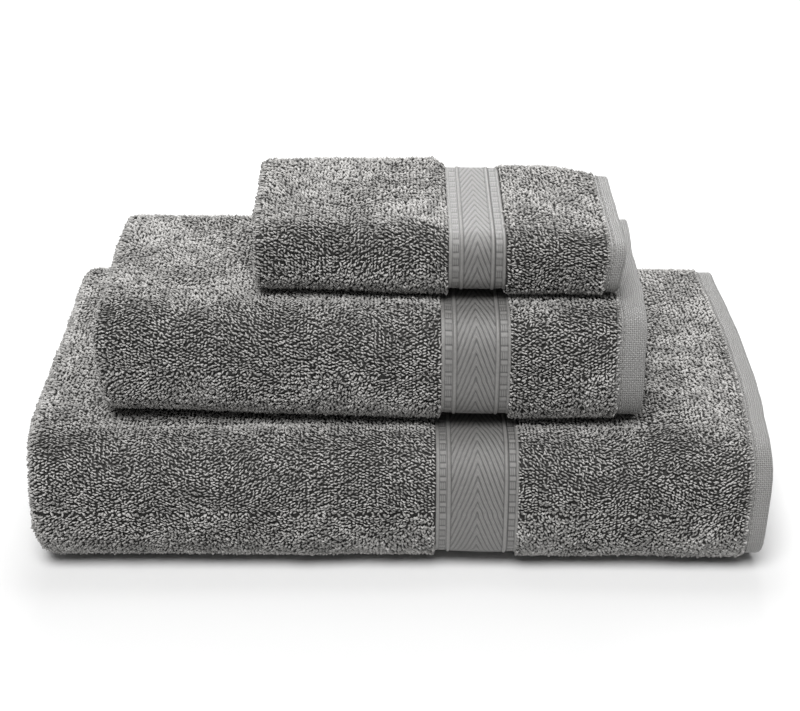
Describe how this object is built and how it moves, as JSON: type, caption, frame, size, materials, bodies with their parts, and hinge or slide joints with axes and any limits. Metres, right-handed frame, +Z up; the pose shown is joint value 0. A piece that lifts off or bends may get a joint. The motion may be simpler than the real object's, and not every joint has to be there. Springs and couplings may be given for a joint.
{
  "type": "folded bath towel set",
  "caption": "Stack of a folded bath towel, hand towel and washcloth in grey cotton terry with woven dobby borders.",
  "frame": {"origin": "on the floor under the middle of the bath towel, the lowest and largest of the stack", "axes": "+X along the folded width towards the hemmed ends, +Y from the rounded front folds to the backs, +Z up"},
  "size_m": [0.339, 0.208, 0.1533],
  "materials": {
    "terry": "grey cotton terry loops, matte",
    "dobby_weave": "flat woven border, slight sheen",
    "hem_weave": "flat plain weave, matte",
    "thread": "sewing thread"
  },
  "bodies": {
    "bath_towel": {"bath_towel_border_cords": "dobby_weave", "bath_towel_dobby_border": "dobby_weave", "bath_towel_end_hem": "hem_weave", "bath_towel_field": "terry", "bath_towel_header": "terry", "bath_towel_hem_thread": "thread", "bath_towel_inner_plies": "terry", "bath_towel_left_fold": "terry", "bath_towel_right_fold": "terry", "bath_towel_second_end_hem": "hem_weave", "bath_towel_side_hems": "hem_weave"},
    "hand_towel": {"hand_towel_border_cords": "dobby_weave", "hand_towel_dobby_border": "dobby_weave", "hand_towel_end_hem": "hem_weave", "hand_towel_field": "terry", "hand_towel_header": "terry", "hand_towel_hem_thread": "thread", "hand_towel_inner_plies": "terry", "hand_towel_left_fold": "terry", "hand_towel_right_fold": "terry", "hand_towel_side_hems": "hem_weave"},
    "washcloth": {"washcloth_border_cords": "dobby_weave", "washcloth_dobby_border": "dobby_weave", "washcloth_end_hem": "hem_weave", "washcloth_field": "terry", "washcloth_header": "terry", "washcloth_hem_thread": "thread", "washcloth_inner_plies": "terry", "washcloth_left_fold": "terry", "washcloth_second_end_hem": "hem_weave", "washcloth_side_hems": "hem_weave"}
  },
  "joints": [
    {"name": "hand_towel_lift", "type": "slide", "parent": "bath_towel", "child": "hand_towel", "axis": [0, 0, 1], "range_m": [0, 0.12]},
    {"name": "washcloth_lift", "type": "slide", "parent": "hand_towel", "child": "washcloth", "axis": [0, 0, 1], "range_m": [0, 0.12]}
  ]
}
